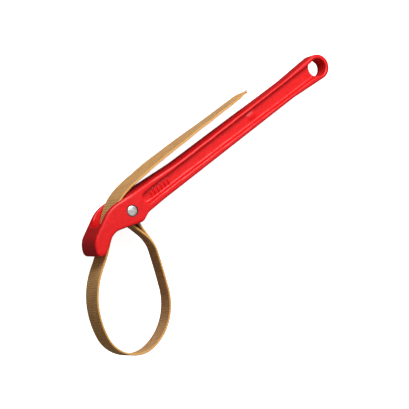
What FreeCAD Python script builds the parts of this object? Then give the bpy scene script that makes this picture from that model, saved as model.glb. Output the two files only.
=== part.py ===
import FreeCAD, Part
import Sketcher
import math
import os

# Strap wrench for oil filters and pipe: one iron casting, one steel pin through its head, and one woven
# strap.  The strap is sewn round the pin, makes the loop that goes round the filter, comes back up
# between the head's two cheeks and ends in a free tail above the handle.
#
# The tool lies on its side.  +X runs along the handle from the head to the hanging eye, +Y points to the
# tail's side of the handle, and +Z runs across the strap.  The outlines below are measured from the pin's
# axis, and ORIGIN_SHIFT then puts the row's origin at the middle of the hanging eye.

os.makedirs("parts", exist_ok=True)
doc = FreeCAD.newDocument("strap_wrench")
Vector = FreeCAD.Vector

SIZES = {
    # handle casting
    "eye_reach": 358.0,        # pin axis to the middle of the hanging eye
    "eye_drop": 2.0,           # the eye's middle sits this far below the pin axis
    "eye_bore": 25.0,
    "head_wide": 57.0,         # across the two cheeks
    "slot_wide": 41.0,         # between the two cheeks
    "root_wide": 44.0,         # handle's width where it leaves the head
    "tip_wide": 24.0,          # handle's width at the hanging eye
    "edge_round": 2.6,         # cast edges round both sides
    "recess_deep": 7.0,
    "rib_high": 1.2,
    "rib_pitch": 6.0,
    "rib_count": 6,
    # anchor pin
    "pin_dia": 14.0,
    "pin_inset": 0.2,          # each riveted end sits this far below the cheek
    "pin_bevel": 0.9,
    "seat_sink": 0.8,          # depth and width of the ring sunk round the pin in each cheek
    # woven strap
    "strap_wide": 38.0,
    "strap_thick": 3.0,
    "pin_clearance": 0.05,
    "link_gap": 0.9,           # left between two lengths of the loop, which bend a little on each other
    "tail_gap": 1.6,           # the same for the tail, which bends further
    # sewn seam
    "thread_dia": 0.9,
    "stitch_long": 3.2,
    "stitch_pitch": 4.6,
    "stitches_in_row": 7,
}

# The strap's middle line, from the pin's left side round the loop and out to the tail: each stretch is one
# even bend, given as its length in mm and its turn in degrees (negative is clockwise).
STRETCHES = {
    "lap": (20.0, 20.5),
    "seam": (22.0, -5.0),
    "lap_end": (14.0, -16.0),
    "shoulder": (12.3, -16.5),
    "right": (51.3, -3.0),
    "lower_right": (42.4, -30.0),
    "bottom_right": (42.6, -35.5),
    "bottom_left": (24.7, -36.0),
    "lower_left": (50.8, -65.0),
    "left": (38.2, -19.0),
    "upper_left": (57.1, -31.5),
    "slot": (56.0, 17.0),
    "bend": (68.0, -48.0),
    "tail": (217.0, -2.0),
}

# ---------------------------------------------------------------- spreadsheet

sheet = doc.addObject("Spreadsheet::Sheet", "sizes")


def write_sheet():
    cells = dict(SIZES)
    for stretch, (length, turn) in STRETCHES.items():
        cells[stretch + "_length"] = length
        cells[stretch + "_turn"] = turn
    for row, (alias, value) in enumerate(cells.items(), start=1):
        sheet.set("A%d" % row, alias)
        sheet.set("B%d" % row, str(value))
        sheet.setAlias("B%d" % row, alias)


write_sheet()
doc.recompute()


def size(alias):
    return float(sheet.get(alias))


ORIGIN_SHIFT = Vector(-size("eye_reach"), size("eye_drop"), 0)
HIGH = 45.0                    # further than any face of the casting, for cuts that run right out

# ---------------------------------------------------------------- sketch helpers


def new_body(name):
    body = doc.addObject("PartDesign::Body", name)
    body.Label = name
    body.Placement = FreeCAD.Placement(ORIGIN_SHIFT, FreeCAD.Rotation())
    return body


def new_sketch(body, name, role="XY_Plane", offset=None):
    sketch = body.newObject("Sketcher::SketchObject", name)
    plane = [part for part in body.Origin.OriginFeatures if part.Role == role][0]
    sketch.AttachmentSupport = [(plane, "")]
    sketch.MapMode = "FlatFace"
    if offset is not None:
        sketch.AttachmentOffset = offset
    return sketch


def draw_outline(sketch, corners):
    """Closed outline through corner points (x, y, radius), each corner rounded by its own radius."""
    starts, ends, arcs = [], [], []
    count = len(corners)
    for index, (x, y, radius) in enumerate(corners):
        here = Vector(x, y, 0)
        back = (Vector(*corners[index - 1][:2], 0) - here).normalize()
        ahead = (Vector(*corners[(index + 1) % count][:2], 0) - here).normalize()
        if radius == 0:
            starts.append(here)
            ends.append(here)
            arcs.append(None)
            continue
        half = back.getAngle(ahead) / 2
        reach = radius / math.tan(half)
        middle = (back + ahead).normalize()
        apex = here + middle * (radius / math.sin(half) - radius)
        starts.append(here + back * reach)
        ends.append(here + ahead * reach)
        arcs.append(Part.Arc(here + back * reach, apex, here + ahead * reach))
    for index in range(count):
        if arcs[index] is not None:
            sketch.addGeometry(arcs[index], False)
        following = (index + 1) % count
        sketch.addGeometry(Part.LineSegment(ends[index], starts[following]), False)


def draw_circle(sketch, x, y, expression):
    centre = Vector(x, y, 0)
    circle = sketch.addGeometry(Part.Circle(centre, Vector(0, 0, 1), 1.0), False)
    number = sketch.addConstraint(Sketcher.Constraint("Diameter", circle, 2.0))
    sketch.setExpression("Constraints[%d]" % number, expression)


def pad(body, name, sketch, expression):
    feature = body.newObject("PartDesign::Pad", name)
    feature.Profile = sketch
    feature.Midplane = True
    feature.setExpression("Length", expression)
    doc.recompute()
    return feature


def pocket(body, name, sketch, expression=None, both_ways=True, reverse=False):
    before = body.Shape.Volume
    feature = body.newObject("PartDesign::Pocket", name)
    feature.Profile = sketch
    feature.Midplane = both_ways
    feature.Reversed = reverse
    if expression is None:
        feature.Length = 4 * HIGH
    else:
        feature.setExpression("Length", expression)
    doc.recompute()
    print("%s cuts %.0f mm3" % (name, before - body.Shape.Volume))
    assert before - body.Shape.Volume > 1.0, name
    return feature


def mirror(body, name, features):
    feature = body.newObject("PartDesign::Mirrored", name)
    feature.Originals = features
    plane = [part for part in body.Origin.OriginFeatures if part.Role == "XY_Plane"][0]
    feature.MirrorPlane = (plane, [""])
    body.Tip = feature
    doc.recompute()
    return feature


# ---------------------------------------------------------------- handle casting

HANDLE_TOP = 13.0
HANDLE_LOW = -15.5
EYE_END = SIZES["eye_reach"] + 19.0
HEAD_END = -100.0              # the plan view runs past the nose and the eye, and the side outline trims it
TAPER_END = EYE_END + 10.0

SIDE_OUTLINE = [
    (95.0, HANDLE_TOP, 300.0),
    (-24.0, 21.0, 45.0),
    (-66.5, -2.0, 26.0),
    (-76.0, -25.5, 7.5),
    (-60.5, -24.5, 3.5),
    (-36.0, -8.0, 20.0),
    (5.5, -21.0, 10.0),
    (18.5, HANDLE_LOW, 12.0),
    (300.0, HANDLE_LOW, 200.0),
    (EYE_END, -21.4, 18.4),
    (EYE_END, 17.4, 18.4),
    (300.0, HANDLE_TOP, 200.0),
]

HOLLOW_OUTLINE = [
    (-43.0, HIGH, 0.0),
    (-45.0, 12.0, 12.0),
    (-65.0, -26.0, 10.0),
    (-65.0, -HIGH, 0.0),
    (16.0, -HIGH, 0.0),
    (16.0, 2.0, 8.0),
    (7.0, 12.0, 8.0),
    (7.0, HIGH, 0.0),
]


def draw_plan(sketch):
    """Plan view: level cheeks, then a smooth step down to the handle, which tapers to the hanging eye."""
    head_half = size("head_wide") / 2
    root_half = size("root_wide") / 2
    tip_half = size("tip_wide") / 2
    draw_outline(sketch, [
        (HEAD_END, -head_half, 0.0),
        (10.0, -head_half, 60.0),
        (48.0, -root_half, 80.0),
        (TAPER_END, -tip_half, 0.0),
        (TAPER_END, tip_half, 0.0),
        (48.0, root_half, 80.0),
        (10.0, head_half, 60.0),
        (HEAD_END, head_half, 0.0),
    ])


def draw_surround(sketch):
    """Everything outside the side outline, as a ring to cut away."""
    draw_outline(sketch, [
        (HEAD_END - 10, -HIGH, 0.0),
        (TAPER_END + 10, -HIGH, 0.0),
        (TAPER_END + 10, HIGH, 0.0),
        (HEAD_END - 10, HIGH, 0.0),
    ])
    draw_outline(sketch, SIDE_OUTLINE)


def round_outer_edges(body):
    """Soft cast edges all along the rims of both sides; the upright edges at the corners stay as they are."""
    trimmed = body.Tip
    rims = []
    for number, edge in enumerate(trimmed.Shape.Edges, start=1):
        box = edge.BoundBox
        on_a_rim = box.ZMin > 5 or box.ZMax < -5
        follows_side_outline = box.XLength > 0.01 or box.YLength < 1
        if on_a_rim and follows_side_outline:
            rims.append("Edge%d" % number)
    fillet = body.newObject("PartDesign::Fillet", "cast_edges")
    fillet.Base = (trimmed, rims)
    fillet.setExpression("Radius", "sizes.edge_round")
    doc.recompute()
    print("%d rim edges rounded" % len(rims))
    assert body.Shape.Volume < trimmed.Shape.Volume - 1.0, "cast_edges"


def recess_plane():
    """Where the recess floor lies: parallel to the handle's tapering side, recess_deep below it."""
    run = TAPER_END - 48.0
    fall = (size("root_wide") - size("tip_wide")) / 2
    slope = math.degrees(math.atan2(fall, run))
    floor_at_pin = size("root_wide") / 2 + 48.0 * fall / run - size("recess_deep")
    return FreeCAD.Placement(Vector(0, 0, floor_at_pin), FreeCAD.Rotation(Vector(0, 1, 0), slope))


def cut_recess(body):
    outline = new_sketch(body, "recess_sketch", offset=recess_plane())
    draw_outline(outline, [
        (23.0, 8.0, 6.0),
        (23.0, -6.0, 6.0),
        (size("eye_reach"), -10.5, 5.0),
        (size("eye_reach"), 8.5, 5.0),
    ])
    cut = pocket(body, "recess", outline, both_ways=False, reverse=True)
    cut.TaperAngle = 6.0
    doc.recompute()
    return cut


def raise_ribs(body):
    """Plain slanted ribs on the recess floor, where such castings carry raised relief."""
    sketch = new_sketch(body, "rib_sketch", offset=recess_plane())
    for number in range(int(size("rib_count"))):
        left = 36.0 + number * size("rib_pitch")
        draw_outline(sketch, [
            (left, -3.6, 0.8),
            (left + 2.4, -3.6, 0.8),
            (left + 4.4, 5.2, 0.8),
            (left + 2.0, 5.2, 0.8),
        ])
    draw_outline(sketch, [
        (222.0, -2.6, 2.4),
        (234.0, -2.6, 2.4),
        (234.0, 4.0, 2.4),
        (222.0, 4.0, 2.4),
    ])
    ribs = body.newObject("PartDesign::Pad", "relief_ribs")
    ribs.Profile = sketch
    ribs.setExpression("Length", "sizes.rib_high")
    doc.recompute()
    return ribs


def sink_pin_ends(body):
    """A shallow ring round each end of the pin, which stays dark between the paint and the bright steel."""
    floor = size("head_wide") / 2 - size("seat_sink")
    plane = FreeCAD.Placement(Vector(0, 0, floor), FreeCAD.Rotation())
    ring = new_sketch(body, "pin_ring_sketch", offset=plane)
    draw_circle(ring, 0, 0, "sizes.pin_dia + 2 * sizes.seat_sink")
    cut = pocket(body, "pin_ring", ring, both_ways=False, reverse=True)
    mirror(body, "pin_ring_far_side", [cut])


def make_handle_casting():
    body = new_body("handle_casting")
    plan = new_sketch(body, "plan_sketch", "XZ_Plane")
    draw_plan(plan)
    blank = body.newObject("PartDesign::Pad", "plan_blank")
    blank.Profile = plan
    blank.Midplane = True
    blank.Length = 2 * HIGH - 10
    doc.recompute()
    surround = new_sketch(body, "side_sketch")
    draw_surround(surround)
    pocket(body, "side_outline", surround)
    round_outer_edges(body)

    hollow = new_sketch(body, "hollow_sketch")
    draw_outline(hollow, HOLLOW_OUTLINE)
    pocket(body, "strap_hollow", hollow, "sizes.slot_wide")

    cut = cut_recess(body)
    ribs = raise_ribs(body)
    mirror(body, "far_side", [cut, ribs])

    eye = new_sketch(body, "eye_sketch")
    draw_circle(eye, size("eye_reach"), -size("eye_drop"), "sizes.eye_bore")
    pocket(body, "hanging_eye", eye)

    seat = new_sketch(body, "pin_seat_sketch")
    draw_circle(seat, 0, 0, "sizes.pin_dia")
    pocket(body, "pin_seat", seat)
    sink_pin_ends(body)
    return body


# ---------------------------------------------------------------- anchor pin


def make_anchor_pin():
    """A plain steel pin through both cheeks; its two ends are riveted over, which leaves them bevelled."""
    body = new_body("anchor_pin")
    radius = size("pin_dia") / 2
    end = size("head_wide") / 2 - size("pin_inset")
    bevel = size("pin_bevel")
    sketch = new_sketch(body, "pin_sketch", "XZ_Plane")
    draw_outline(sketch, [
        (0.0, -end, 0.0),
        (radius - bevel, -end, 0.0),
        (radius, bevel - end, 0.0),
        (radius, end - bevel, 0.0),
        (radius - bevel, end, 0.0),
        (0.0, end, 0.0),
    ])
    turned = body.newObject("PartDesign::Revolution", "turned_pin")
    turned.Profile = sketch
    turned.ReferenceAxis = (sketch, ["V_Axis"])
    turned.Angle = 360
    doc.recompute()
    return body


# ---------------------------------------------------------------- woven strap


def walk_strap():
    """Start point and heading of every stretch, straight down from the pin's left side to the tail's end."""
    places = {}
    point = Vector(-eye_bore() - size("strap_thick") / 2, 0, 0)
    heading = math.radians(-90)
    for name in STRETCHES:
        places[name] = (point, heading)
        point, heading = along(point, heading, size(name + "_length"), math.radians(size(name + "_turn")))
    places["end"] = (point, heading)
    return places


def eye_bore():
    """Radius of the round opening that the strap makes for the pin."""
    return size("pin_dia") / 2 + size("pin_clearance")


def along(point, heading, length, turn):
    """The point and heading at the end of an even bend."""
    if abs(turn) < 1e-9:
        return point + Vector(math.cos(heading), math.sin(heading), 0) * length, heading
    radius = length / turn
    ended = heading + turn
    step = Vector(math.sin(ended) - math.sin(heading), math.cos(heading) - math.cos(ended), 0) * radius
    return point + step, ended


def side_point(point, heading, offset):
    """The point this far to the left of the strap's middle line."""
    return point + Vector(-math.sin(heading), math.cos(heading), 0) * offset


def draw_strap(sketch, places, names, start_trim, end_trim):
    """Outline of a length of strap seen on its edge: one face out, the other back, square ends."""
    half = size("strap_thick") / 2
    rows = []
    for number, name in enumerate(names):
        point, heading = places[name]
        length = size(name + "_length")
        turn = math.radians(size(name + "_turn"))
        first = start_trim / length if number == 0 else 0.0
        last = 1.0 - end_trim / length if number == len(names) - 1 else 1.0
        stations = [along(point, heading, length * part, turn * part)
                    for part in (first, (first + last) / 2, last)]
        rows.append((stations, abs(turn) > 1e-9))
    outline = [(stations, curved, half) for stations, curved in rows]
    outline += [(stations[::-1], curved, -half) for stations, curved in reversed(rows)]
    ends = []
    for stations, curved, offset in outline:
        start, middle, finish = [side_point(*station, offset) for station in stations]
        line = Part.Arc(start, middle, finish) if curved else Part.LineSegment(start, finish)
        if ends and ends[-1].distanceToPoint(start) > 1e-6:
            sketch.addGeometry(Part.LineSegment(ends[-1], start), False)
        sketch.addGeometry(line, False)
        ends.append(finish)
    opening = side_point(*outline[0][0][0], half)
    sketch.addGeometry(Part.LineSegment(ends[-1], opening), False)


def make_strap_length(name, places, stretches, start_trim, end_trim):
    body = new_body(name)
    sketch = new_sketch(body, name + "_sketch")
    draw_strap(sketch, places, stretches, start_trim, end_trim)
    pad(body, name + "_web", sketch, "sizes.strap_wide")
    return body


OUTER_PLY_TOP = (4.3, -22.0)
OUTER_PLY_END = (5.9, -50.0)


def outer_ply_x(y):
    """Outer face of the short ply, which runs nearly straight from below the pin to its cut end."""
    top_x, top_y = OUTER_PLY_TOP
    low_x, low_y = OUTER_PLY_END
    return top_x + (low_x - top_x) * (top_y - y) / (top_y - low_y)


def make_strap_eye(places):
    """The strap's sewn end: the main ply, the turn over the pin, and the short ply down to its cut end."""
    body = new_body("strap_eye")
    main = new_sketch(body, "main_ply_sketch")
    draw_strap(main, places, ["lap", "seam", "lap_end"], 0.0, size("link_gap") / 2)
    pad(body, "main_ply", main, "sizes.strap_wide")

    bore = eye_bore()
    around = bore + size("strap_thick")
    short = new_sketch(body, "short_ply_sketch")
    draw_outline(short, [
        (bore, 0.0, 0.0),
        (bore, -3.5, 15.0),
        (OUTER_PLY_TOP[0] - size("strap_thick"), OUTER_PLY_TOP[1], 40.0),
        (1.6, -36.0, 0.0),
        (3.0, -50.0, 0.0),
        (OUTER_PLY_END[0], OUTER_PLY_END[1], 0.0),
        (OUTER_PLY_TOP[0], OUTER_PLY_TOP[1], 40.0),
        (around, -3.5, 15.0),
        (around, 0.0, 0.0),
    ])
    pad(body, "short_ply", short, "sizes.strap_wide")

    wrap = new_sketch(body, "wrap_sketch")
    outer = Part.Arc(Vector(around, 0, 0), Vector(0, around, 0), Vector(-around, 0, 0))
    inner = Part.Arc(Vector(-bore, 0, 0), Vector(0, bore, 0), Vector(bore, 0, 0))
    wrap.addGeometry(outer, False)
    wrap.addGeometry(Part.LineSegment(Vector(-around, 0, 0), Vector(-bore, 0, 0)), False)
    wrap.addGeometry(inner, False)
    wrap.addGeometry(Part.LineSegment(Vector(bore, 0, 0), Vector(around, 0, 0)), False)
    pad(body, "wrap", wrap, "sizes.strap_wide")
    hole = new_sketch(body, "eye_hole_sketch")
    draw_circle(hole, 0, 0, "sizes.pin_dia + 2 * sizes.pin_clearance")
    pocket_through_eye(body, hole)
    return body


def pocket_through_eye(body, sketch):
    """Clears whatever the two plies leave standing inside the pin's opening."""
    feature = body.newObject("PartDesign::Pocket", "eye_hole")
    feature.Profile = sketch
    feature.Midplane = True
    feature.Length = 4 * HIGH
    doc.recompute()


def make_seam_stitching(places):
    """Rows of thread across the lap, each stitch a short rod half sunk in an outer face of the strap."""
    thread = size("thread_dia")
    long = size("stitch_long")
    count = int(size("stitches_in_row"))
    point, heading = places["seam"]
    turn = math.radians(size("seam_turn"))
    stitches = []
    for row, part in enumerate((0.45, 0.7, 0.95)):
        here = along(point, heading, size("seam_length") * part, turn * part)
        inner = side_point(*here, -size("strap_thick") / 2)
        outer = Vector(outer_ply_x(here[0].y), here[0].y, 0)
        for number in range(count):
            sideways = (number - (count - 1) / 2) * size("stitch_pitch")
            for side, centre in enumerate((inner, outer)):
                stitch = doc.addObject("Part::Cylinder", "stitch_%d_%d_%d" % (row, number, side))
                stitch.setExpression("Radius", "sizes.thread_dia / 2")
                stitch.setExpression("Height", "sizes.stitch_long")
                place = ORIGIN_SHIFT + centre + Vector(0, 0, sideways - long / 2)
                stitch.Placement = FreeCAD.Placement(place, FreeCAD.Rotation())
                stitches.append(stitch)
    print("thread of %.1f mm, %d stitches" % (thread, len(stitches)))
    seam = doc.addObject("Part::Compound", "seam_stitching")
    seam.Label = "seam_stitching"
    seam.Links = stitches
    doc.recompute()
    return seam


def make_strap():
    places = walk_strap()
    for name, (point, heading) in places.items():
        moved = point + ORIGIN_SHIFT
        print("%-12s %8.3f %8.3f  heading %6.1f" % (name, moved.x, moved.y, math.degrees(heading)))
    loop_trim = size("link_gap") / 2
    tail_trim = size("tail_gap") / 2
    lengths = [
        ("strap_right_side", ["shoulder", "right"], loop_trim, loop_trim),
        ("strap_lower_right", ["lower_right", "bottom_right"], loop_trim, loop_trim),
        ("strap_lower_left", ["bottom_left", "lower_left"], loop_trim, loop_trim),
        ("strap_left_side", ["left", "upper_left"], loop_trim, loop_trim),
        ("strap_through_head", ["slot"], loop_trim, tail_trim),
        ("strap_tail_bend", ["bend"], tail_trim, tail_trim),
        ("strap_tail_end", ["tail"], tail_trim, 0.0),
    ]
    pieces = [make_strap_eye(places), make_seam_stitching(places)]
    for name, stretches, start_trim, end_trim in lengths:
        pieces.append(make_strap_length(name, places, stretches, start_trim, end_trim))
    return pieces


# ---------------------------------------------------------------- build, check and write

nodes = [make_handle_casting(), make_anchor_pin()] + make_strap()
doc.recompute()

for item in doc.Objects:
    assert "Invalid" not in item.State and "Error" not in item.State, item.Label
for node in nodes:
    shape = node.Shape
    assert not shape.isNull() and shape.isValid(), node.Label
    print("%-20s %10.0f mm3  solids %d" % (node.Label, shape.Volume, len(shape.Solids)))
for node in nodes:
    node.Shape.exportStep("parts/%s.step" % node.Label)
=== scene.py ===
# %% [markdown]
# # A strap wrench with a cast handle and a woven strap
# The tool lies on its side.  Its handle is one iron casting under glossy red enamel, a bright steel pin
# goes through the head, and a tan woven strap is sewn round that pin.  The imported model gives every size
# and place, and this lesson adds the surfaces that a person would see and touch.

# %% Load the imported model
import bpy
import bmesh
import math
from mathutils import Matrix, Vector


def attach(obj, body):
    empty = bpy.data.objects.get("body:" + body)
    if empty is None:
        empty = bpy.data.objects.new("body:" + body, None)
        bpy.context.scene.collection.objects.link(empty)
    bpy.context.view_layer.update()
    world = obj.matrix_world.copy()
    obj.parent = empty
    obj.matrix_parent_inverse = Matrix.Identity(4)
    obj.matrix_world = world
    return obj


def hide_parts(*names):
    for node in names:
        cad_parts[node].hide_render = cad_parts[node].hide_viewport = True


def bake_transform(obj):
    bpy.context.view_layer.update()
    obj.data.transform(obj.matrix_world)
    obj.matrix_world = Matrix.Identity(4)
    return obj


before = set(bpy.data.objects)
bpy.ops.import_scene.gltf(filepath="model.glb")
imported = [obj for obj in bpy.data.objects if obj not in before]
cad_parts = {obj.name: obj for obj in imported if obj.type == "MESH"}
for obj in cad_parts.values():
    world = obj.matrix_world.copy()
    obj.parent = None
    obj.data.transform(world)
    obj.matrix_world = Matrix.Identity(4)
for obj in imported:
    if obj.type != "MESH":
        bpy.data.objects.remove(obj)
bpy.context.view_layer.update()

MM = 0.001

# %% [markdown]
# ## Small helpers
# Colours are written as they look on a screen, and Blender works with linear light, so one function
# turns the first into the second.  One more function adds a node with its settings and its links, which
# keeps each material and each tree short enough to read.

# %% Colour and node helpers


def linear(hex_colour):
    """An sRGB hex colour as the linear RGBA that Blender's sockets take."""
    channels = [int(hex_colour[start:start + 2], 16) / 255 for start in (1, 3, 5)]
    return [c / 12.92 if c <= 0.04045 else ((c + 0.055) / 1.055) ** 2.4 for c in channels] + [1.0]


def add_node(tree, kind, links=None, values=None, **settings):
    """One node: settings are its own properties, values its sockets, and links what feeds a socket."""
    node = tree.nodes.new(kind)
    for name, value in settings.items():
        setattr(node, name, value)
    for socket, value in (values or {}).items():
        node.inputs[socket].default_value = value
    for socket, source in (links or {}).items():
        tree.links.new(source, node.inputs[socket])
    return node


def new_material(name):
    """An empty node material with its Principled shader already joined to the output."""
    material = bpy.data.materials.new(name)
    material.use_nodes = True
    tree = material.node_tree
    tree.nodes.clear()
    shader = add_node(tree, "ShaderNodeBsdfPrincipled")
    add_node(tree, "ShaderNodeOutputMaterial", {"Surface": shader.outputs[0]})
    return material, tree, shader


def join_bump(tree, shader, height, distance, strength, under=None):
    """Adds a bump layer from a height, on top of another bump if one is given."""
    links = {"Height": height}
    if under is not None:
        links["Normal"] = under.outputs[0]
    bump = add_node(tree, "ShaderNodeBump", links, {"Distance": distance, "Strength": strength})
    tree.links.new(bump.outputs[0], shader.inputs["Normal"])
    return bump


print("mid grey #808080 is", round(linear("#808080")[0], 3), "in linear light")

# %% [markdown]
# ## Red enamel on sand-cast iron
# The handle is malleable iron, cast in sand, shot-blasted and dipped in red enamel.  To the eye that is a
# glossy coat whose highlights wander a little, because it follows the grain of the sand underneath.  Two
# noises make that surface: one of about 5 mm for the casting's unevenness, and one of 1 mm for the skin
# of the enamel.  Object coordinates are in metres, so a scale of 200 means features of 5 mm.

# %% Enamel


def make_enamel():
    material, tree, enamel = new_material("red enamel on cast iron")
    place = add_node(tree, "ShaderNodeTexCoord")
    uneven = add_node(tree, "ShaderNodeTexNoise", {"Vector": place.outputs["Object"]},
                      {"Scale": 200.0, "Detail": 3.0, "Roughness": 0.5})
    skin = add_node(tree, "ShaderNodeTexNoise", {"Vector": place.outputs["Object"]},
                    {"Scale": 1000.0, "Detail": 2.0, "Roughness": 0.55})
    tone = add_node(tree, "ShaderNodeValToRGB", {"Fac": uneven.outputs["Fac"]})
    tone.color_ramp.elements[0].position = 0.3
    tone.color_ramp.elements[0].color = linear("#D00E10")
    tone.color_ramp.elements[1].position = 0.7
    tone.color_ramp.elements[1].color = linear("#DE1518")
    gloss = add_node(tree, "ShaderNodeMapRange", {"Value": skin.outputs["Fac"]},
                     {"To Min": 0.32, "To Max": 0.44})
    tree.links.new(tone.outputs[0], enamel.inputs["Base Color"])
    tree.links.new(gloss.outputs[0], enamel.inputs["Roughness"])
    enamel.inputs["IOR"].default_value = 1.5
    enamel.inputs["Specular IOR Level"].default_value = 0.32
    enamel.inputs["Coat Weight"].default_value = 0.05
    enamel.inputs["Coat Roughness"].default_value = 0.2
    cast = join_bump(tree, enamel, uneven.outputs["Fac"], 0.0004, 0.35)
    join_bump(tree, enamel, skin.outputs["Fac"], 0.00012, 0.3, cast)
    return material


enamel = make_enamel()
print("enamel nodes:", len(enamel.node_tree.nodes))

# %% [markdown]
# ## Steel of the pin, and painted shade round it
# The pin is turned bar with both ends riveted over, so its ends show faint rings from the lathe and a few
# small hammer marks.  Rings follow the distance from the pin's axis, which a Wave texture in ring mode
# gives once the coordinates are centred on that axis.  Round the pin, in the gap of its seat, lies a narrow
# ring that is painted nearly black: painted shade, where the gap lies in shade.

# %% Steel and painted gap shade
PIN = Vector((-358 * MM, 2 * MM, 0))


def make_pin_steel():
    material, tree, steel = new_material("turned steel")
    place = add_node(tree, "ShaderNodeTexCoord")
    centred = add_node(tree, "ShaderNodeMapping", {"Vector": place.outputs["Object"]},
                       {"Location": (-PIN.x, -PIN.y, 0)})
    rings = add_node(tree, "ShaderNodeTexWave", {"Vector": centred.outputs[0]},
                     {"Scale": 420.0, "Distortion": 1.2, "Detail": 2.0, "Detail Scale": 2.0},
                     wave_type="RINGS", rings_direction="Z")
    marks = add_node(tree, "ShaderNodeTexNoise", {"Vector": centred.outputs[0]},
                     {"Scale": 330.0, "Detail": 3.0, "Roughness": 0.6})
    tone = add_node(tree, "ShaderNodeValToRGB", {"Fac": marks.outputs["Fac"]})
    tone.color_ramp.elements[0].position = 0.34
    tone.color_ramp.elements[0].color = linear("#A9A9A6")
    tone.color_ramp.elements[1].position = 0.56
    tone.color_ramp.elements[1].color = linear("#E9E8E4")
    tree.links.new(tone.outputs[0], steel.inputs["Base Color"])
    steel.inputs["Metallic"].default_value = 1.0
    steel.inputs["Roughness"].default_value = 0.42
    hammered = join_bump(tree, steel, marks.outputs["Fac"], 0.0004, 0.35)
    join_bump(tree, steel, rings.outputs["Fac"], 0.00006, 0.3, hammered)
    return material


# Painted shade: a nearly black ring with a little random tone, put in the gap round each pin end where shade
# falls.
def make_painted_gap_shade():
    material, tree, gap_shade = new_material("painted shade in the pin gap")
    place = add_node(tree, "ShaderNodeTexCoord")
    patches = add_node(tree, "ShaderNodeTexNoise", {"Vector": place.outputs["Object"]},
                       {"Scale": 900.0, "Detail": 2.0})
    tone = add_node(tree, "ShaderNodeValToRGB", {"Fac": patches.outputs["Fac"]})
    tone.color_ramp.elements[0].color = linear("#170808")
    tone.color_ramp.elements[1].color = linear("#3A1412")
    tree.links.new(tone.outputs[0], gap_shade.inputs["Base Color"])
    gap_shade.inputs["Roughness"].default_value = 0.55
    join_bump(tree, gap_shade, patches.outputs["Fac"], 0.0001, 0.4)
    return material


pin_steel = make_pin_steel()
gap_shade_paint = make_painted_gap_shade()
print("pin axis at x %.1f mm, y %.1f mm" % (PIN.x / MM, PIN.y / MM))

# %% [markdown]
# ## Woven nylon
# The strap is a thick narrow cloth.  Stout yarns cross it from edge to edge about every 2.2 mm and make
# its ribs, and thinner yarns run along it and dive between them.  Each point of the strap carries two
# numbers, how far along the strap and how far across it the point lies, in millimetres, so the weave
# stays true round every bend.  The ribs themselves are real relief, and the shader adds the yarns that
# run along, drawn at 2 mm, which is a little coarser than real ones so that they still show.  The shader
# also paints shade into the valleys between the ribs and where the yarns dive, and a painted highlight
# on the rib tops.

# %% Webbing and thread
RIB_PITCH = 2.2
WARP_PITCH = 2.0


def wave_of(tree, distance, pitch):
    """The sine of a distance in mm, one half wave to each pitch."""
    turns = add_node(tree, "ShaderNodeMath", {0: distance}, {1: math.pi / pitch}, operation="MULTIPLY")
    return add_node(tree, "ShaderNodeMath", {0: turns.outputs[0]}, operation="SINE").outputs[0]


def two_tones(tree, value, low, low_colour, high, high_colour):
    """A colour that goes from one tone to another as a value goes from low to high."""
    ranged = add_node(tree, "ShaderNodeMapRange", {"Value": value}, {"From Min": low, "From Max": high})
    tone = add_node(tree, "ShaderNodeValToRGB", {"Fac": ranged.outputs[0]})
    tone.color_ramp.elements[0].color = linear(low_colour)
    tone.color_ramp.elements[1].color = linear(high_colour)
    return tone.outputs[0]


def multiplied(tree, first, second):
    """One colour laid over another by multiplying, so each layer darkens it: painted shade or the cloth's
    own tone.
    """
    mixed = add_node(tree, "ShaderNodeMix", {6: first, 7: second}, {0: 1.0},
                     data_type="RGBA", blend_type="MULTIPLY")
    return mixed.outputs[2]


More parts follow.
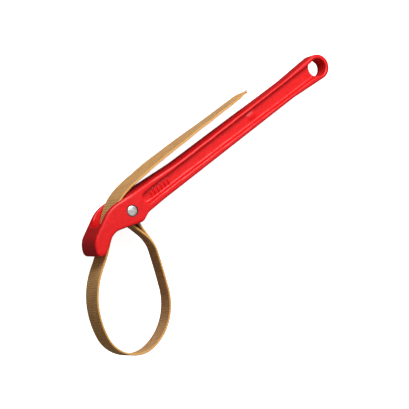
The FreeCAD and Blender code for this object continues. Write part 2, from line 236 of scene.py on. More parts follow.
def make_webbing_cloth():
    material, tree, cloth = new_material("tan woven nylon")
    along = add_node(tree, "ShaderNodeAttribute", attribute_name="along_mm").outputs["Fac"]
    across = add_node(tree, "ShaderNodeAttribute", attribute_name="across_mm").outputs["Fac"]
    rib_wave = wave_of(tree, along, RIB_PITCH)
    warp_wave = wave_of(tree, across, WARP_PITCH)
    rib_top = add_node(tree, "ShaderNodeMath", {0: rib_wave}, operation="ABSOLUTE").outputs[0]
    crossed = add_node(tree, "ShaderNodeMath", {0: rib_wave, 1: warp_wave}, operation="MULTIPLY").outputs[0]
    yarns = add_node(tree, "ShaderNodeCombineXYZ", {"X": along, "Y": across}).outputs[0]
    fuzz = add_node(tree, "ShaderNodeTexNoise", {"Vector": yarns},
                    {"Scale": 0.9, "Detail": 3.0, "Roughness": 0.65}).outputs["Fac"]
    patches = add_node(tree, "ShaderNodeTexNoise", {"Vector": yarns},
                       {"Scale": 0.05, "Detail": 2.0, "Roughness": 0.5}).outputs["Fac"]
    # Painted shade and highlight: the valleys between ribs and the places where yarns dive are darker, the
    # rib tops lighter.
    rib_shade_and_highlight = two_tones(tree, rib_top, 0.05, "#B07C2C", 0.65, "#FFCF74")
    dive_shade = two_tones(tree, crossed, -0.45, "#DECBA2", 0.5, "#FFFCEE")
    worn = two_tones(tree, patches, 0.35, "#F3E8D2", 0.65, "#FFFFFF")
    hairs = two_tones(tree, fuzz, 0.35, "#E6D6B4", 0.7, "#FFFEF4")
    colour = rib_shade_and_highlight
    for layer in (dive_shade, worn, hairs):
        colour = multiplied(tree, colour, layer)
    # The edge strip gets one orange tone: partly the selvedge's own colour, partly a painted highlight where
    # the edge catches the light.
    edge = add_node(tree, "ShaderNodeMath", {0: across}, operation="ABSOLUTE").outputs[0]
    at_edge = add_node(tree, "ShaderNodeMapRange", {"Value": edge},
                       {"From Min": 17.4, "From Max": 18.6}).outputs[0]
    selvedge_and_edge_highlight = add_node(tree, "ShaderNodeMix", {0: at_edge, 6: colour}, {7: linear("#D8A055")},
                        data_type="RGBA", blend_type="MIX").outputs[2]
    tree.links.new(selvedge_and_edge_highlight, cloth.inputs["Base Color"])
    cloth.inputs["Roughness"].default_value = 0.72
    cloth.inputs["Sheen Weight"].default_value = 0.25
    cloth.inputs["Sheen Roughness"].default_value = 0.5
    weave = join_bump(tree, cloth, crossed, 0.00025, 0.5)
    join_bump(tree, cloth, fuzz, 0.0001, 0.4, weave)
    return material


def make_thread():
    """Bonded sewing thread: the same nylon, finer and a little shinier, with a twist every 1.5 mm."""
    material, tree, thread = new_material("bonded nylon thread")
    place = add_node(tree, "ShaderNodeTexCoord").outputs["Object"]
    twist = add_node(tree, "ShaderNodeTexWave", {"Vector": place},
                     {"Scale": 210.0, "Distortion": 0.5}, bands_direction="DIAGONAL").outputs["Fac"]
    colour = two_tones(tree, twist, 0.1, "#A8743A", 0.8, "#E0B070")
    tree.links.new(colour, thread.inputs["Base Color"])
    thread.inputs["Roughness"].default_value = 0.5
    thread.inputs["Sheen Weight"].default_value = 0.15
    join_bump(tree, thread, twist, 0.0002, 0.5)
    return material


webbing_cloth = make_webbing_cloth()
thread_finish = make_thread()
print("ribs every %.1f mm, lengthways yarns every %.1f mm" % (RIB_PITCH, WARP_PITCH))

# %% [markdown]
# ## The casting's skin
# Sand casting leaves no sharp edge: every corner and every step has a small round, and the enamel fills
# the inner corners further.  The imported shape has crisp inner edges, so a copy of it is remeshed with
# 1.1 mm voxels and smoothed a few times, which rounds them all by about a millimetre.  A disc closes
# the seat round each pin end first, and a Boolean cuts that seat again afterwards, because a ring under
# a millimetre wide would be lost in the voxels.  Two coves fill the corners at the slot's front end.

# %% Casting
CHEEK = 28.5 * MM
SEAT_RADIUS = 7.9 * MM
SEAT_DEPTH = 0.8 * MM
SLOT_HALF = 20.5               # mm from the middle plane to the inner face of a cheek
COVE_STEPS = 8
SUNK = 1.5                     # mm that a cove reaches into the wall behind it
SLOT_WALL = [                  # the hollow's front wall from its top: x, y and the cove's radius, in mm
    (-46.2, 30.0, 19.0), (-49.0, 4.4, 18.0), (-54.0, -5.1, 13.0), (-58.5, -13.7, 8.0), (-64.0, -24.1, 2.5)]


def show(name, mesh):
    """A new object in the scene that shows this mesh."""
    made = bpy.data.objects.new(name, mesh)
    bpy.context.scene.collection.objects.link(made)
    return made


def disc(name, radius, low, high, sides=96):
    """A closed round disc on the pin's axis."""
    shape = bmesh.new()
    bmesh.ops.create_cone(shape, cap_ends=True, segments=sides, radius1=radius, radius2=radius,
                          depth=high - low, matrix=Matrix.Translation((PIN.x, PIN.y, (low + high) / 2)))
    mesh = bpy.data.meshes.new(name)
    shape.to_mesh(mesh)
    shape.free()
    return show(name, mesh)


def merged_copy(node, extra):
    """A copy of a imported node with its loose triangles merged, joined by some extra closed shapes."""
    shape = bmesh.new()
    shape.from_mesh(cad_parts[node].data)
    for other in extra:
        shape.from_mesh(other.data)
    bmesh.ops.remove_doubles(shape, verts=shape.verts, dist=1e-6)
    mesh = bpy.data.meshes.new(node + "_copy")
    shape.to_mesh(mesh)
    shape.free()
    return mesh


def finished_mesh(made):
    """The object's mesh with its modifiers worked into it."""
    shown = made.evaluated_get(bpy.context.evaluated_depsgraph_get())
    mesh = bpy.data.meshes.new_from_object(shown)
    made.modifiers.clear()
    made.data = mesh
    return mesh


def head_top(x):
    """Just under the head's sloping upper edge, in mm from the pin's axis."""
    return 21.0 + 0.541 * (x + 24.0) - 1.6


def slot_corner(name, side):
    """Fills the corner between the hollow's front wall and a cheek to a cove, widest at the top."""
    rings = []
    for x, y, radius in SLOT_WALL:
        cheek = SLOT_HALF + 1
        ring = [(x - SUNK, y, cheek), (x + radius, y, cheek)]
        for step in range(COVE_STEPS + 1):
            turn = math.radians(90 + step * 90 / COVE_STEPS)
            ring.append((x + radius + radius * math.cos(turn), y,
                         SLOT_HALF - radius + radius * math.sin(turn)))
        ring.append((x - SUNK, y, SLOT_HALF - radius))
        rings.append([(px, min(py, head_top(px)), pz) for px, py, pz in ring])
    shape = bmesh.new()
    rows = [[shape.verts.new((PIN.x + x * MM, PIN.y + y * MM, side * z * MM)) for x, y, z in ring]
            for ring in rings]
    count = len(rings[0])
    for upper, lower in zip(rows, rows[1:]):
        for step in range(count):
            after = (step + 1) % count
            shape.faces.new((upper[step], upper[after], lower[after], lower[step]))
    shape.faces.new(rows[0])
    shape.faces.new(rows[-1])
    bmesh.ops.recalc_face_normals(shape, faces=shape.faces)
    mesh = bpy.data.meshes.new(name)
    shape.to_mesh(mesh)
    shape.free()
    return show(name, mesh)


def make_casting():
    """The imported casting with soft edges, coves in its slot and a clean seat round each pin end."""
    plugs = [slot_corner("near_cove", 1), slot_corner("far_cove", -1),
             disc("near_plug", 10 * MM, CHEEK - 6 * MM, CHEEK),
             disc("far_plug", 10 * MM, -CHEEK, 6 * MM - CHEEK)]
    casting = show("enamelled_casting", merged_copy("handle_casting", plugs))
    remesh = casting.modifiers.new("even skin", "REMESH")
    remesh.mode = "VOXEL"
    remesh.voxel_size = 1.1 * MM
    soften = casting.modifiers.new("cast edges", "SMOOTH")
    soften.factor = 0.5
    soften.iterations = 5
    finished_mesh(casting)
    cutters = [disc("near_seat", SEAT_RADIUS, CHEEK - SEAT_DEPTH, CHEEK + 2 * MM),
               disc("far_seat", SEAT_RADIUS, -CHEEK - 2 * MM, SEAT_DEPTH - CHEEK)]
    for cutter in cutters:
        cut = casting.modifiers.new(cutter.name, "BOOLEAN")
        cut.operation = "DIFFERENCE"
        cut.solver = "EXACT"
        cut.object = cutter
    finished_mesh(casting)
    for helper in plugs + cutters:
        bpy.data.objects.remove(helper)
    casting.data.shade_smooth()
    casting.data.set_sharp_from_angle(angle=math.radians(50))
    casting.data.materials.clear()
    casting.data.materials.append(enamel)
    return casting


casting = make_casting()
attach(casting, "handle")
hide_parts("handle_casting")
print("casting faces:", len(casting.data.polygons))

# %% [markdown]
# ## The pin
# A turned part is a profile carried round an axis.  The profile here runs from the middle of one end to
# the middle of the other: a low dome, the rolled rim of the rivet and the plain shank.  A ring turned the
# same way fills the gap round each end, and it is painted nearly black as painted shade.

# %% Pin
PIN_PROFILE = [(0.0, 28.35), (2.0, 28.33), (4.0, 28.28), (5.4, 28.2), (6.1, 28.08), (6.6, 27.86),
               (6.85, 27.6), (7.0, 27.2)]


def turned(name, profile, steps=72):
    """Rings of points round the pin's axis, one for each (radius, height) pair in mm, closed at its ends."""
    mesh = bpy.data.meshes.new(name)
    points = []
    faces = []
    for radius, height in profile:
        for step in range(steps):
            turn = 2 * math.pi * step / steps
            points.append((PIN.x + radius * MM * math.cos(turn), PIN.y + radius * MM * math.sin(turn),
                           height * MM))
    for ring in range(len(profile) - 1):
        for step in range(steps):
            after = (step + 1) % steps
            low, high = ring * steps, (ring + 1) * steps
            faces.append((low + step, high + step, high + after, low + after))
    mesh.from_pydata(points, [], faces)
    shape = bmesh.new()
    shape.from_mesh(mesh)
    bmesh.ops.remove_doubles(shape, verts=shape.verts, dist=1e-6)
    bmesh.ops.recalc_face_normals(shape, faces=shape.faces)
    shape.to_mesh(mesh)
    shape.free()
    mesh.shade_smooth()
    return show(name, mesh)


pin = turned("riveted_pin", PIN_PROFILE + [(radius, -height) for radius, height in reversed(PIN_PROFILE)])
pin.data.materials.append(pin_steel)
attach(pin, "handle")
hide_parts("anchor_pin")
# A thin ring in the seat's gap at each end carries the painted shade.
for side, name in ((1, "near_gap"), (-1, "far_gap")):
    gap = turned(name, [(6.7, side * 27.6), (6.7, side * 27.9), (7.4, side * 28.1), (8.0, side * 28.25),
                        (8.0, side * 27.6), (6.7, side * 27.6)])
    gap.data.materials.append(gap_shade_paint)
    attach(gap, "handle")
print("pin faces:", len(pin.data.polygons))

# %% [markdown]
# ## The strap's route
# Seen on its edge, the strap is a line of even bends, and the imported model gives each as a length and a
# turn.  The same list here leads round the loop, through the head and out to the tail.  Near the pin the
# strap doubles back, and its sewn end wraps the pin before it runs down again beside the main ply.

# %% Route
STRETCHES = [(20, 20.5), (22, -5), (14, -16), (12.3, -16.5), (51.3, -3), (42.4, -30), (42.6, -35.5),
             (24.7, -36), (50.8, -65), (38.2, -19), (57.1, -31.5), (56, 17), (68, -48), (217, -2)]
START_HEADING = -90.0
STRAP_WIDE = 38.0
STRAP_THICK = 3.0
WRAP = 7.05 + STRAP_THICK / 2  # radius of the strap's middle line round the pin
STEP = 0.275                   # mm between the route's points: eight to a rib


LEAN = [                       # mm along the strap, and how far it is turned there, in degrees
    (-90, -4.5), (-50, -4.5), (-22, 0), (0, 0), (22, 4.5), (390, 4.5), (440, 5.5), (480, 7), (530, 7.2),
    (590, 4.7), (630, 1.8), (670, 0), (731, -0.5)]
SAG = [                        # mm along the strap, and how far the free tail lies below its bent line
    (0, 0), (425, 0), (462, 0.6), (490, 1.3), (512, 0.6), (540, -0.5), (565, -0.3), (610, 0.1), (640, 0.75),
    (731, 1.0)]


def eased(marks, along):
    """The value at this distance, going softly from each mark to the next."""
    for (before, first), (after, last) in zip(marks, marks[1:]):
        if along <= after:
            share = max(0.0, (along - before) / (after - before))
            return first + (last - first) * share * share * (3 - 2 * share)
    return marks[-1][1]


def route_point(along):
    """Where the middle line is, this far from the pin, in mm from the pin's axis."""
    x, y = -WRAP, 0.0
    heading = math.radians(START_HEADING)
    left = along
    for length, turn in STRETCHES:
        part = min(left, length)
        bend = math.radians(turn) * part / length
        if abs(bend) < 1e-9:
            x += part * math.cos(heading)
            y += part * math.sin(heading)
        else:
            radius = part / bend
            x += radius * (math.sin(heading + bend) - math.sin(heading))
            y += radius * (math.cos(heading) - math.cos(heading + bend))
        heading += bend
        left -= part
        if left <= 0:
            break
    return x, y, heading


def route_line(start, end):
    """The route between two distances, as points with their distance and lean."""
    count = max(2, round((end - start) / STEP))
    line = []
    for number in range(count + 1):
        along = start + (end - start) * number / count
        x, y, heading = route_point(along)
        sag = eased(SAG, along)
        line.append((x + math.sin(heading) * sag, y - math.cos(heading) * sag, along, eased(LEAN, along)))
    return line


def in_row(x, y):
    """A place in mm from the pin's axis as the model's own coordinates in metres."""
    return (PIN.x + x * MM, PIN.y + y * MM, 0.0)


def route_object(name, line):
    """A chain of points that carries the two numbers the strap's tree reads."""
    mesh = bpy.data.meshes.new(name)
    mesh.from_pydata([in_row(x, y) for x, y, along, lean in line],
                     [(number, number + 1) for number in range(len(line) - 1)], [])
    along = mesh.attributes.new("along_mm", "FLOAT", "POINT")
    along.data.foreach_set("value", [row[2] for row in line])
    lean = mesh.attributes.new("lean", "FLOAT", "POINT")
    lean.data.foreach_set("value", [math.radians(row[3]) for row in line])
    return show(name, mesh)


print("strap beyond the pin: %.0f mm" % sum(length for length, turn in STRETCHES))

# %% [markdown]
# ## One tree for every length of strap
# Each length is the same section carried along its part of the route.  The tree makes that section as a
# rounded rectangle, sweeps it, and then moves every point outwards by the height of its rib.  The ribs
# rise to the strap's own thickness and their valleys lie below it, so the strap never grows.

# %% Strap tree


def make_strap_tree():
    tree = bpy.data.node_groups.new("woven strap along a route", "GeometryNodeTree")
    tree.interface.new_socket("Route", in_out="INPUT", socket_type="NodeSocketGeometry")
    for name in ("Width", "Thickness", "Rib Pitch", "Rib Depth"):
        tree.interface.new_socket(name, in_out="INPUT", socket_type="NodeSocketFloat")
    tree.interface.new_socket("Strap", in_out="OUTPUT", socket_type="NodeSocketGeometry")
    given = add_node(tree, "NodeGroupInput").outputs
    lean = add_node(tree, "GeometryNodeInputNamedAttribute", None, {"Name": "lean"},
                    data_type="FLOAT").outputs[0]
    line = add_node(tree, "GeometryNodeMeshToCurve", {"Mesh": given["Route"]}).outputs[0]
    upright = add_node(tree, "GeometryNodeSetCurveNormal", {"Curve": line}, mode="Z_UP").outputs[0]
    leaning = add_node(tree, "GeometryNodeSetCurveTilt", {"Curve": upright, "Tilt": lean}).outputs[0]

    section = add_node(tree, "GeometryNodeCurvePrimitiveQuadrilateral",
                       {"Width": given["Thickness"], "Height": given["Width"]}).outputs[0]
    corner = add_node(tree, "ShaderNodeMath", {0: given["Thickness"]}, {1: 0.42},
                      operation="MULTIPLY").outputs[0]
    rounded = add_node(tree, "GeometryNodeFilletCurve", {"Curve": section, "Radius": corner},
                       {"Count": 4, "Limit Radius": True}, mode="POLY").outputs[0]
    spread = add_node(tree, "GeometryNodeResampleCurve", {"Curve": rounded}, {"Count": 92},
                      mode="COUNT").outputs[0]
    place = add_node(tree, "GeometryNodeInputPosition").outputs[0]
    sideways = add_node(tree, "ShaderNodeSeparateXYZ", {0: place}).outputs["Y"]
    in_mm = add_node(tree, "ShaderNodeMath", {0: sideways}, {1: 1000.0}, operation="MULTIPLY").outputs[0]
    marked = add_node(tree, "GeometryNodeStoreNamedAttribute", {"Geometry": spread, "Value": in_mm},
                      {"Name": "across_mm"}, data_type="FLOAT", domain="POINT").outputs[0]

    swept = add_node(tree, "GeometryNodeCurveToMesh", {"Curve": leaning, "Profile Curve": marked},
                     {"Fill Caps": True}).outputs[0]
    along = add_node(tree, "GeometryNodeInputNamedAttribute", None, {"Name": "along_mm"},
                     data_type="FLOAT").outputs[0]
    ribs = add_node(tree, "ShaderNodeMath", {0: along, 1: given["Rib Pitch"]},
                    operation="DIVIDE").outputs[0]
    turns = add_node(tree, "ShaderNodeMath", {0: ribs}, {1: math.pi}, operation="MULTIPLY").outputs[0]
    wave = add_node(tree, "ShaderNodeMath", {0: turns}, operation="SINE").outputs[0]
    top = add_node(tree, "ShaderNodeMath", {0: wave}, operation="ABSOLUTE").outputs[0]
    below = add_node(tree, "ShaderNodeMath", {0: top}, {1: 1.0}, operation="SUBTRACT").outputs[0]
    depth = add_node(tree, "ShaderNodeMath", {0: below, 1: given["Rib Depth"]},
                     operation="MULTIPLY").outputs[0]
    normal = add_node(tree, "GeometryNodeInputNormal").outputs[0]
    move = add_node(tree, "ShaderNodeVectorMath", {0: normal, "Scale": depth}, operation="SCALE").outputs[0]
    woven = add_node(tree, "GeometryNodeSetPosition", {"Geometry": swept, "Offset": move}).outputs[0]
    smooth = add_node(tree, "GeometryNodeSetShadeSmooth", {"Geometry": woven}).outputs[0]
    single = add_node(tree, "GeometryNodeRealizeInstances", {"Geometry": smooth}).outputs[0]
    finish = add_node(tree, "GeometryNodeSetMaterial", {"Geometry": single},
                      {"Material": webbing_cloth}).outputs[0]
    add_node(tree, "NodeGroupOutput", {"Strap": finish})
    return tree


strap_tree = make_strap_tree()


def grow(made, tree, sizes):
    """Runs a tree on an object with its sizes, and leaves the result as the object's plain mesh."""
    modifier = made.modifiers.new(tree.name, "NODES")
    modifier.node_group = tree
    sockets = {item.name: item.identifier for item in tree.interface.items_tree}
    for name, value in sizes.items():
        modifier[sockets[name]] = value
    return finished_mesh(made)


STRAP_SIZES = {"Width": STRAP_WIDE * MM, "Thickness": STRAP_THICK * MM, "Rib Pitch": RIB_PITCH,
               "Rib Depth": 0.3 * MM}


def weave_length(name, line, width=STRAP_WIDE):
    """One length of strap; its ends are flat, so the edges round them stay sharp."""
    strap = route_object(name, line)
    mesh = grow(strap, strap_tree, {**STRAP_SIZES, "Width": width * MM})
    mesh.set_sharp_from_angle(angle=math.radians(60))
    return strap


print("strap tree nodes:", len(strap_tree.nodes))

# %% [markdown]
# ## Lengths of strap and the joints they cross
# Every length here crosses one joint of the imported model, and the table names the body before it and
# the body after it, but the lengths are left where they are made and are tied to neither body.  Two
# lengths meet in the middle of a body, end to end, so the whole strap stays one unbroken band.

# %% Loop and tail
BLEND_REACH = 18               # mm on each side of a joint; the two places there are found on the route but not used
LOOP_LENGTHS = [
    # name, start, end, body before, body after, joint at, CAD node
    ("strap_below_seam", 30, 95, "eye", "right_side", 56, "strap_right_side"),
    ("strap_right", 95, 162, "right_side", "lower_right", 119.6, "strap_lower_right"),
    ("strap_bottom", 162, 245, "lower_right", "lower_left", 204.6, "strap_lower_left"),
    ("strap_left", 245, 335, "lower_left", "left_side", 280.1, "strap_left_side"),
    ("strap_in_head", 335, 403, "left_side", "through_head", 375.4, "strap_through_head"),
    ("strap_out_of_head", 403, 465, "through_head", "tail_bend", 431.4, "strap_tail_bend"),
    ("strap_tail", 465, 555, "tail_bend", "tail_end", 499.4, None),
]


def spot(along):
    """A place on the route as the model's own coordinates."""
    x, y, heading = route_point(along)
    return in_row(x, y)


for name, start, end, before, after, joint_at, node in LOOP_LENGTHS:
    length = weave_length(name, route_line(start, end))
    spot(joint_at - BLEND_REACH)
    spot(joint_at + BLEND_REACH)
    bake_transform(length)
    if node:
        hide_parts(node)
    print("%-18s %3.0f to %3.0f mm, %6d faces" % (name, start, end, len(length.data.polygons)))

# %% [markdown]
# ## The sewn end round the pin
# The short ply starts at its cut end, runs up outside the main ply and goes over the pin.  On the other
# side it becomes the main ply, which leans a little as it runs down to the loop.

# %% Sewn end
SHORT_PLY = [                  # the short ply's middle line from its cut end, in mm from the pin's axis
    (3.6, -58.0), (4.0, -50.0), (3.5, -38.0), (2.9, -26.0), (3.6, -19.0), (6.2, -11.0), (8.1, -5.0)]


def rounded_path(corners, steps):
    """A smooth line through the points, by Catmull and Rom's rule."""
    ends = [corners[0]] + corners + [corners[-1]]
    made = []
    for before, start, end, after in zip(ends, ends[1:], ends[2:], ends[3:]):
        for number in range(steps):
            t = number / steps
            made.append(tuple(
                0.5 * (2 * b + (c - a) * t + (2 * a - 5 * b + 4 * c - d) * t * t
                       + (3 * b - a - 3 * c + d) * t ** 3)
                for a, b, c, d in zip(before, start, end, after)))
    return made + [corners[-1]]


def even_line(points, finish_at):
    """The points spread evenly STEP apart, each with its distance, which ends at finish_at."""
    gaps = [math.dist(a, b) for a, b in zip(points, points[1:])]
    whole = sum(gaps)
    count = round(whole / STEP)
    line = []
    index, passed = 0, 0.0
    for number in range(count + 1):
        wanted = whole * number / count
        while index < len(gaps) - 1 and passed + gaps[index] < wanted:
            passed += gaps[index]
            index += 1
        share = min(1.0, (wanted - passed) / gaps[index])
        x = points[index][0] + (points[index + 1][0] - points[index][0]) * share
        y = points[index][1] + (points[index + 1][1] - points[index][1]) * share
        along = finish_at - whole + wanted
        line.append((x, y, along, eased(LEAN, along)))
    return line


turn_over = [(WRAP * math.cos(math.radians(angle)), WRAP * math.sin(math.radians(angle)))
             for angle in range(0, 181, 6)]
main_ply = [route_point(along)[:2] for along in range(1, 31)]
sewn = rounded_path(SHORT_PLY + [turn_over[0]], 12) + turn_over[1:] + main_ply
eye = weave_length("strap_round_pin", even_line(sewn, 30.0), STRAP_WIDE - 0.5)
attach(eye, "eye")
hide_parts("strap_eye")
print("sewn end: %d faces" % len(eye.data.polygons))

# %% [markdown]
# ## The tail's end
# The free end is cut slanting, so that it starts easily through the head, and its middle is heated and
# drawn out to a short tongue.  The tree's plain end is brought to that outline by moving the points of
# its last 40 mm along the strap, each by its height across the strap.

# %% Tail's end
CUT_FROM = 676.0               # mm along the strap where the slanting starts
TAIL_LONG = 716.4
DROOP_FROM = 708.0             # mm along the strap where the thin tongue starts to hang
DROOP = 0.12                   # mm that it drops for each mm beyond that
TIP_OUTLINE = [                # mm across the strap, and mm along it where the cut end lies
    (-19, 716), (-14, 714.5), (-11, 714), (-8, 721), (-4, 725), (1, 725), (4, 720), (8, 711), (19, 696.5)]


def tip_reach(across):
    """How far along the strap the cut end lies, at this distance across it."""
    for (left, first), (right, last) in zip(TIP_OUTLINE, TIP_OUTLINE[1:]):
        if across <= right:
            return first + (last - first) * max(0.0, (across - left) / (right - left))
    return TIP_OUTLINE[-1][1]


def cut_tip(strap):
    """Moves the last points of the strap along it to the slanting outline."""
    x, y, heading = route_point(TAIL_LONG)
    ahead = Vector((math.cos(heading), math.sin(heading), 0))
    along = strap.data.attributes["along_mm"].data
    for vertex in strap.data.vertices:
        here = along[vertex.index].value
        if here > CUT_FROM:
            share = (here - CUT_FROM) / (TAIL_LONG - CUT_FROM)
            reach = tip_reach(vertex.co.z / MM)
            vertex.co += ahead * ((share * (reach - TAIL_LONG)) * MM)
            beyond = max(0.0, share * reach + (1 - share) * CUT_FROM - DROOP_FROM)
            vertex.co.y -= DROOP * beyond * MM


tail_end = weave_length("strap_tail_end", route_line(555, TAIL_LONG))
cut_tip(tail_end)
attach(tail_end, "tail_end")
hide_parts("strap_tail_end")
print("tail faces:", len(tail_end.data.polygons))

# %% [markdown]
# ## Stitches through the seam
# A walking-foot machine sews the two plies together with a thread of nearly a millimetre, in three rows.
# Every stitch is the same, so one small tree repeats it: a short bead of thread is put on every point of
# a row, and the rows are handed in as points that already lie on the strap's faces.

# %% Stitch tree
SEAM_ROWS = (29.9, 35.4, 40.9)          # mm along the strap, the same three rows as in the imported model
STITCH_PITCH = 4.6


def make_stitch_tree():
    tree = bpy.data.node_groups.new("stitches on points", "GeometryNodeTree")
    tree.interface.new_socket("Points", in_out="INPUT", socket_type="NodeSocketGeometry")
    for name in ("Thread Radius", "Stitch Length"):
        tree.interface.new_socket(name, in_out="INPUT", socket_type="NodeSocketFloat")
    tree.interface.new_socket("Stitches", in_out="OUTPUT", socket_type="NodeSocketGeometry")
    given = add_node(tree, "NodeGroupInput").outputs
    points = add_node(tree, "GeometryNodeMeshToPoints", {"Mesh": given["Points"]}).outputs[0]
    bead = add_node(tree, "GeometryNodeMeshUVSphere", {"Radius": given["Thread Radius"]},
                    {"Segments": 10, "Rings": 8}).outputs[0]
    longer = add_node(tree, "ShaderNodeMath", {0: given["Stitch Length"], 1: given["Thread Radius"]},
                      operation="DIVIDE").outputs[0]
    half = add_node(tree, "ShaderNodeMath", {0: longer}, {1: 0.5}, operation="MULTIPLY").outputs[0]
    stretch = add_node(tree, "ShaderNodeCombineXYZ", {"Z": half}, {"X": 1.0, "Y": 1.0}).outputs[0]
    stitch = add_node(tree, "GeometryNodeTransform", {"Geometry": bead, "Scale": stretch}).outputs[0]
    sewn = add_node(tree, "GeometryNodeInstanceOnPoints", {"Points": points, "Instance": stitch}).outputs[0]
    single = add_node(tree, "GeometryNodeRealizeInstances", {"Geometry": sewn}).outputs[0]
    smooth = add_node(tree, "GeometryNodeSetShadeSmooth", {"Geometry": single}).outputs[0]
    finish = add_node(tree, "GeometryNodeSetMaterial", {"Geometry": smooth},
                      {"Material": thread_finish}).outputs[0]
    add_node(tree, "NodeGroupOutput", {"Stitches": finish})
    return tree


def seam_points():
    """Seven places across the strap in every row, on the inner face and on the short ply's outer face."""
    places = []
    for along in SEAM_ROWS:
        x, y, heading = route_point(along)
        half = STRAP_THICK / 2
        inner = (x + math.sin(heading) * half, y - math.cos(heading) * half)
        outer = (4.3 + 1.6 * (-22.0 - y) / 28.0, y)
        lean = math.tan(math.radians(eased(LEAN, along)))
        for number in range(7):
            z = (number - 3) * STITCH_PITCH
            for face_x, face_y in (inner, outer):
                places.append((PIN.x + (face_x - lean * z) * MM, PIN.y + face_y * MM, z * MM))
    return places


stitches = bpy.data.meshes.new("seam_points")
stitches.from_pydata(seam_points(), [], [])
seam = show("sewn_stitches", stitches)
grow(seam, make_stitch_tree(), {"Thread Radius": 0.45 * MM, "Stitch Length": 3.4 * MM})
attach(seam, "eye")
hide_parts("seam_stitching")
print("stitch faces:", len(seam.data.polygons))

# %% [markdown]
# ## Raised relief in the recess
# Such castings carry raised marks in the recess of the handle.  Here they are six plain slanted ribs near
# the head, on both sides.  They follow a rule, a fixed pitch along the handle, so a tree repeats one rib
# that is a rounded bar with a soft top.

# %% Relief tree


def make_relief_tree():
    tree = bpy.data.node_groups.new("slanted ribs", "GeometryNodeTree")
    tree.interface.new_socket("Start", in_out="INPUT", socket_type="NodeSocketGeometry")
    tree.interface.new_socket("Count", in_out="INPUT", socket_type="NodeSocketInt")
    for name in ("Pitch", "Length", "Thick", "Height", "Slant"):
        tree.interface.new_socket(name, in_out="INPUT", socket_type="NodeSocketFloat")
    tree.interface.new_socket("Ribs", in_out="OUTPUT", socket_type="NodeSocketGeometry")
    given = add_node(tree, "NodeGroupInput").outputs
    step = add_node(tree, "ShaderNodeCombineXYZ", {"X": given["Pitch"]}).outputs[0]
    row = add_node(tree, "GeometryNodeMeshLine", {"Count": given["Count"], "Offset": step}).outputs[0]
    ball = add_node(tree, "GeometryNodeMeshUVSphere", None,
                    {"Segments": 24, "Rings": 16, "Radius": 0.5}).outputs[0]
    size = add_node(tree, "ShaderNodeCombineXYZ",
                    {"X": given["Thick"], "Y": given["Length"], "Z": given["Height"]}).outputs[0]
    turn = add_node(tree, "ShaderNodeCombineXYZ", {"Z": given["Slant"]}).outputs[0]
    rib = add_node(tree, "GeometryNodeTransform",
                   {"Geometry": ball, "Scale": size, "Rotation": turn}).outputs[0]
    places = add_node(tree, "GeometryNodeInstanceOnPoints", {"Points": row, "Instance": rib}).outputs[0]
    single = add_node(tree, "GeometryNodeRealizeInstances", {"Geometry": places}).outputs[0]
    smooth = add_node(tree, "GeometryNodeSetShadeSmooth", {"Geometry": single}).outputs[0]
    finish = add_node(tree, "GeometryNodeSetMaterial", {"Geometry": smooth},
                      {"Material": enamel}).outputs[0]
    add_node(tree, "NodeGroupOutput", {"Ribs": finish})
    return tree


relief_tree = make_relief_tree()
RECESS_SLOPE = math.atan(10 / 339)      # the handle's side tapers by 10 mm over 339 mm
RECESS_AT_PIN = 16.416                  # mm from the middle plane to the recess floor, at the pin
RELIEF_START = 39.2 * MM                # from the pin's axis to the first rib
RELIEF_RISE = 0.8 * MM                  # the row of ribs lies this far above the pin's axis


def relief_side(name, side):
    """One side's ribs, laid on the sloping floor of the recess."""
    ribs = show(name, bpy.data.meshes.new(name))
    grow(ribs, relief_tree, {"Count": 6, "Pitch": 6.0 * MM, "Length": 11.0 * MM, "Thick": 3.2 * MM,
                             "Height": 5.4 * MM, "Slant": -0.22 * side})
    floor = RECESS_AT_PIN * MM - RELIEF_START * math.tan(RECESS_SLOPE)
    slope = Matrix.Rotation(RECESS_SLOPE * side, 4, "Y")
    place = Matrix.Translation((PIN.x + RELIEF_START, PIN.y + RELIEF_RISE, floor * side)) @ slope
    ribs.data.transform(place)
    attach(ribs, "handle")
    return ribs


for side, name in ((1, "near_relief"), (-1, "far_relief")):
    print(name, len(relief_side(name, side).data.polygons), "faces")

# %% [markdown]
# ## The view and the light
# The camera looks down on the tool from its left, and a long lens keeps the handle's lines nearly
# parallel.  One broad lamp above the handle's upper side gives the long highlights on the enamel, and a
# weaker one stands steeper, so that some of its light reaches the handle past the tail's edge.

# %% Camera, lights and floor
CAMERA_PLACE = Vector((-0.80652, 0.27281, 1.37422))
CAMERA_RIGHT = Vector((0.73141, -0.53641, 0.42108))
CAMERA_DOWN = Vector((-0.57796, -0.81533, -0.03471))
CAMERA_AHEAD = Vector((0.36213, -0.21809, -0.90626))


def add_camera():
    lens = bpy.data.cameras.new("camera")
    lens.lens = 97.64
    lens.sensor_width = 36.0
    camera = bpy.data.objects.new("camera", lens)
    bpy.context.scene.collection.objects.link(camera)
    axes = Matrix((CAMERA_RIGHT, -CAMERA_DOWN, -CAMERA_AHEAD)).transposed()
    camera.matrix_world = Matrix.Translation(CAMERA_PLACE) @ axes.to_4x4()
    bpy.context.scene.camera = camera


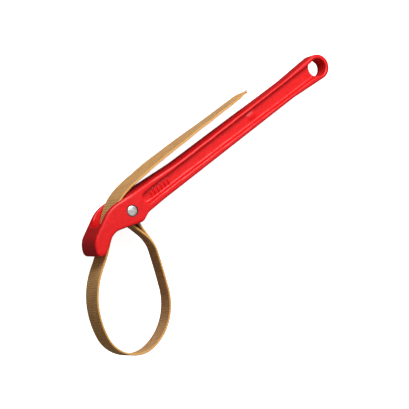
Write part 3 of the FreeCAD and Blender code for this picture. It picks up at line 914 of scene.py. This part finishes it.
def add_lamp(name, toward, away, size, power):
    """A square lamp this far from the tool's middle, facing it."""
    middle = Vector((-0.25, -0.03, 0))
    light = bpy.data.lights.new(name, "AREA")
    light.size = size
    light.energy = power
    lamp = bpy.data.objects.new(name, light)
    direction = Vector(toward).normalized()
    lamp.location = middle + direction * away
    lamp.rotation_mode = "QUATERNION"
    lamp.rotation_quaternion = direction.to_track_quat("Z", "Y")
    bpy.context.scene.collection.objects.link(lamp)


def add_floor():
    """Pale paper under the tool.  To the eye it glows like an overlit studio sweep; the light that it
    throws back on the tool stays low, so that the tool's undersides keep their shade."""
    material, tree, paper = new_material("pale paper")
    place = add_node(tree, "ShaderNodeTexCoord").outputs["Object"]
    mottle = add_node(tree, "ShaderNodeTexNoise", {"Vector": place}, {"Scale": 30.0}).outputs["Fac"]
    pale = two_tones(tree, mottle, 0.3, "#F4F4F4", 0.7, "#FAFAFA")
    seen = add_node(tree, "ShaderNodeLightPath").outputs["Is Camera Ray"]
    thrown = add_node(tree, "ShaderNodeMix", {0: seen, 7: pale}, {6: linear("#4A4444")}, data_type="RGBA")
    glow = add_node(tree, "ShaderNodeMath", {0: seen}, {1: 0.85}, operation="MULTIPLY").outputs[0]
    tree.links.new(thrown.outputs[2], paper.inputs["Base Color"])
    tree.links.new(glow, paper.inputs["Emission Strength"])
    paper.inputs["Emission Color"].default_value = linear("#FFFFFF")
    paper.inputs["Roughness"].default_value = 0.9
    paper.inputs["Specular IOR Level"].default_value = 0.1
    mesh = bpy.data.meshes.new("floor")
    level = -CHEEK - 0.2 * MM
    mesh.from_pydata([(-3, -3, level), (3, -3, level), (3, 3, level), (-3, 3, level)], [], [(0, 1, 2, 3)])
    mesh.materials.append(material)
    show("floor", mesh)


add_camera()
add_lamp("key", (0.25, 0.60, 0.76), 1.6, 0.8, 25.0)
add_lamp("fill", (0.45, 0.32, 0.84), 1.8, 0.9, 9.0)
add_floor()
world = bpy.data.worlds.new("studio")
world.use_nodes = True
world.node_tree.nodes["Background"].inputs["Color"].default_value = linear("#FFFFFF")
world.node_tree.nodes["Background"].inputs["Strength"].default_value = 0.30
bpy.context.scene.world = world
bpy.context.scene.view_settings.view_transform = "Standard"
print("camera %.2f m above the floor" % CAMERA_PLACE.z)
